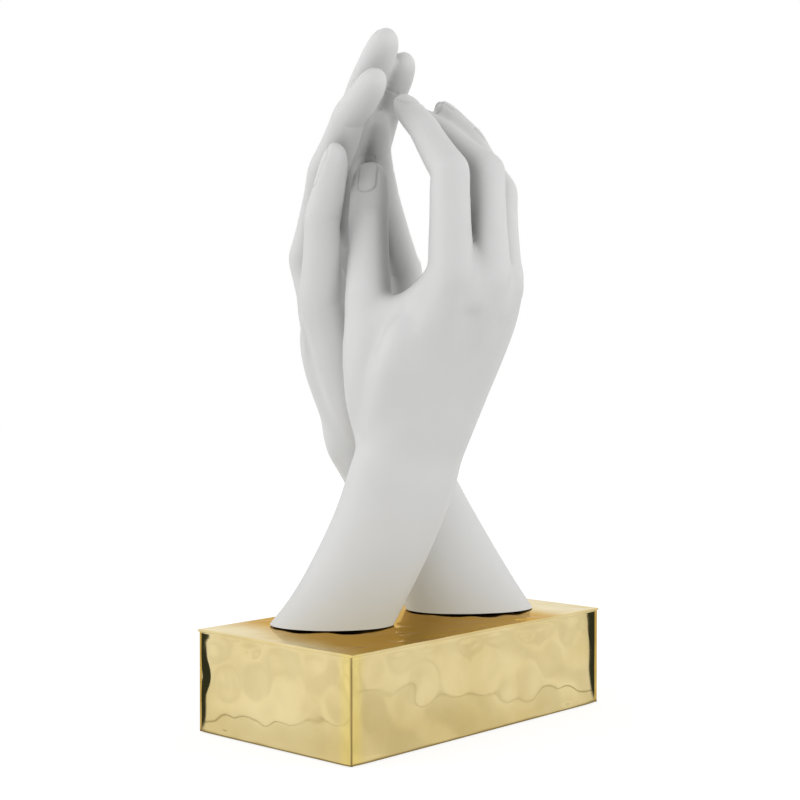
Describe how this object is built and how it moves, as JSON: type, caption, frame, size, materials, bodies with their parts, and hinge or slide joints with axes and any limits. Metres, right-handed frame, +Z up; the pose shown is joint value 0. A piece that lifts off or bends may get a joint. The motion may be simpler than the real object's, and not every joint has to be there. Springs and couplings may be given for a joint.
{
  "type": "hand sculpture",
  "caption": "White right and left hands rising crossed from a brass-clad block, fingertips nearly meeting, as a tabletop ornament.",
  "frame": {"origin": "middle of the block's underside, on the surface that the sculpture rests on", "axes": "+X along the block's long side, +Y across it, +Z up to the fingertips; the picture looks from the corner at -X, -Y"},
  "size_m": [0.188, 0.1387, 0.3431],
  "materials": {
    "white_resin": "smooth matt white casting",
    "hammered_brass": "polished, with shallow hammered dents",
    "core_wood": "plain, hidden",
    "brown_felt": "felt",
    "dark_gasket": "matt",
    "insert_brass": "machined",
    "zinc_steel": "zinc plated"
  },
  "bodies": {
    "root": {"right_hand": "white_resin", "left_hand": "white_resin", "right_hand_gasket": "dark_gasket", "left_hand_gasket": "dark_gasket", "base_core": "core_wood", "top_plate": "hammered_brass", "front_plate": "hammered_brass", "back_plate": "hammered_brass", "left_end_plate": "hammered_brass", "right_end_plate": "hammered_brass", "felt_pad": "brown_felt", "right_hand_insert": "insert_brass", "left_hand_insert": "insert_brass", "right_hand_stud": "zinc_steel", "left_hand_stud": "zinc_steel", "right_hand_washer": "zinc_steel", "left_hand_washer": "zinc_steel", "right_hand_nut": "zinc_steel", "left_hand_nut": "zinc_steel", "right_hand_dowel": "zinc_steel", "left_hand_dowel": "zinc_steel"}
  },
  "joints": []
}
